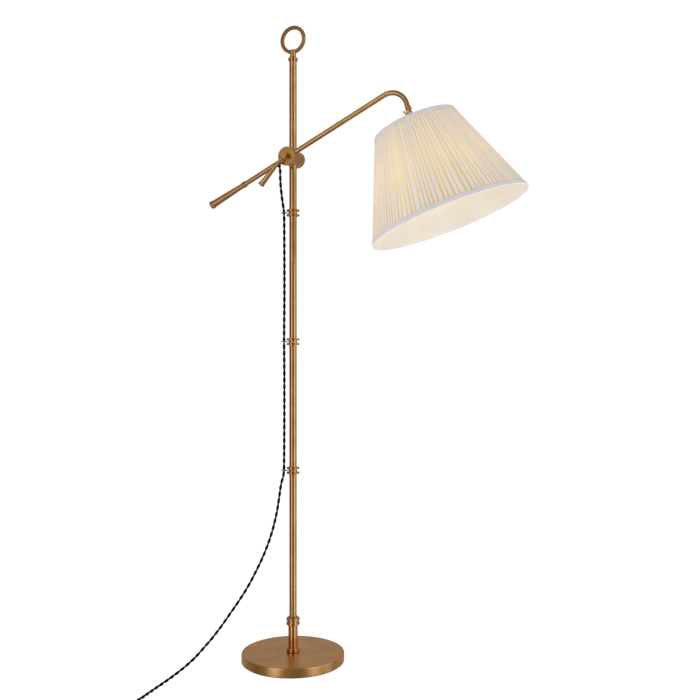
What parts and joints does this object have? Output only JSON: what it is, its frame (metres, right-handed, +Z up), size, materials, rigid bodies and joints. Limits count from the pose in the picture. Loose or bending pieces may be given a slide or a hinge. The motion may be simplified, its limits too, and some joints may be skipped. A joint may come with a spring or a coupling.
{
  "type": "bridge floor lamp",
  "caption": "Floor lamp with a round weighted base, a jointed column, a counterweighted tilting arm locked by a lever, and a pleated cone shade on a swivel, with its cord and plug.",
  "frame": {"origin": "centre of the base's underside, on the floor and on the column's axis", "axes": "+Z up along the column; +X the way the arm reaches, towards the shade; the lever side faces -Y"},
  "size_m": [0.8838, 0.7415, 1.703],
  "materials": {
    "antique_brass": "brushed antique brass, warm and half matt",
    "cast_iron": "rough casting with a dark primer",
    "black_felt": "short black felt",
    "plated_steel": "dull zinc plate",
    "fibre": "dark fibre washer",
    "navy_cord": "twisted pair in braided cloth, near black with a blue cast",
    "black_plastic": "matt black moulding",
    "plug_metal": "plated blades",
    "porcelain": "white glazed insulator",
    "lit_glass": "frosted bulb, lit warm",
    "bulb_metal": "rolled thread shell",
    "shade_wire": "coated wire",
    "cream_lining": "smooth cream backing, glowing when lit",
    "pleated_linen": "narrow hand-laid pleats of grey-white linen",
    "linen_band": "flat folded linen trim"
  },
  "bodies": {
    "stand": {"base_cover": "antique_brass", "base_weight": "cast_iron", "base_felt": "black_felt", "base_stud": "plated_steel", "base_washer": "plated_steel", "base_nut": "plated_steel", "foot_collar": "antique_brass", "foot_tube": "antique_brass", "lower_coupling": "antique_brass", "column_tube_1": "antique_brass", "column_tube_2": "antique_brass", "column_tube_3": "antique_brass", "column_tube_4": "antique_brass", "joint_studs": "plated_steel", "clip_1": "antique_brass", "clip_2": "antique_brass", "clip_3": "antique_brass", "cord_loop_1": "antique_brass", "cord_loop_2": "antique_brass", "cord_loop_3": "antique_brass", "finial_post": "antique_brass", "finial_ring": "antique_brass", "column_hub": "antique_brass", "hub_back_cap": "antique_brass", "pivot_bolt": "plated_steel", "friction_washer": "fibre", "lever_washer": "plated_steel", "cord_upper": "navy_cord", "cord_lower": "navy_cord", "cord_coil": "navy_cord", "plug_body": "black_plastic", "plug_blades": "plug_metal", "plug_relief": "black_plastic"},
    "arm": {"arm_hub": "antique_brass", "front_plate": "antique_brass", "arm_tube": "antique_brass", "arm_tail": "antique_brass", "grip_rings": "antique_brass", "grip_handle": "antique_brass", "cord_bush": "black_plastic", "arm_lead": "navy_cord", "arm_knuckle": "antique_brass"},
    "lever": {"lever_knob": "antique_brass", "lever_handle": "antique_brass"},
    "head": {"fork": "antique_brass", "fork_screw": "antique_brass", "holder_cap": "antique_brass", "holder_shell": "antique_brass", "holder_core": "porcelain", "shade_ring_nut": "antique_brass", "bulb_glass": "lit_glass", "bulb_cap": "bulb_metal", "shade_spider": "shade_wire", "shade_bottom_ring": "shade_wire", "shade_liner": "cream_lining", "pleated_cover": "pleated_linen", "top_band": "linen_band", "bottom_band": "linen_band"},
    "key": {"switch_key": "black_plastic"}
  },
  "joints": [
    {"name": "arm_tilt", "type": "hinge", "parent": "stand", "child": "arm", "pos_m": [0, -0.027, 1.347], "axis": [0, -1, 0], "range_deg": [-30, 35], "deforming": ["cord_upper"]},
    {"name": "lever_turn", "type": "hinge", "parent": "stand", "child": "lever", "pos_m": [0, -0.05, 1.347], "axis": [0, -1, 0], "range_deg": [-20, 90]},
    {"name": "shade_tilt", "type": "hinge", "parent": "arm", "child": "head", "pos_m": [0.34665, -0.027, 1.42496], "axis": [0.9391, 0, 0.3437], "range_deg": [-35, 30]},
    {"name": "switch_turn", "type": "hinge", "parent": "head", "child": "key", "pos_m": [0.3727, -0.04585, 1.35378], "axis": [0.0282, -0.9966, -0.0769], "range_deg": [0, 90]}
  ]
}
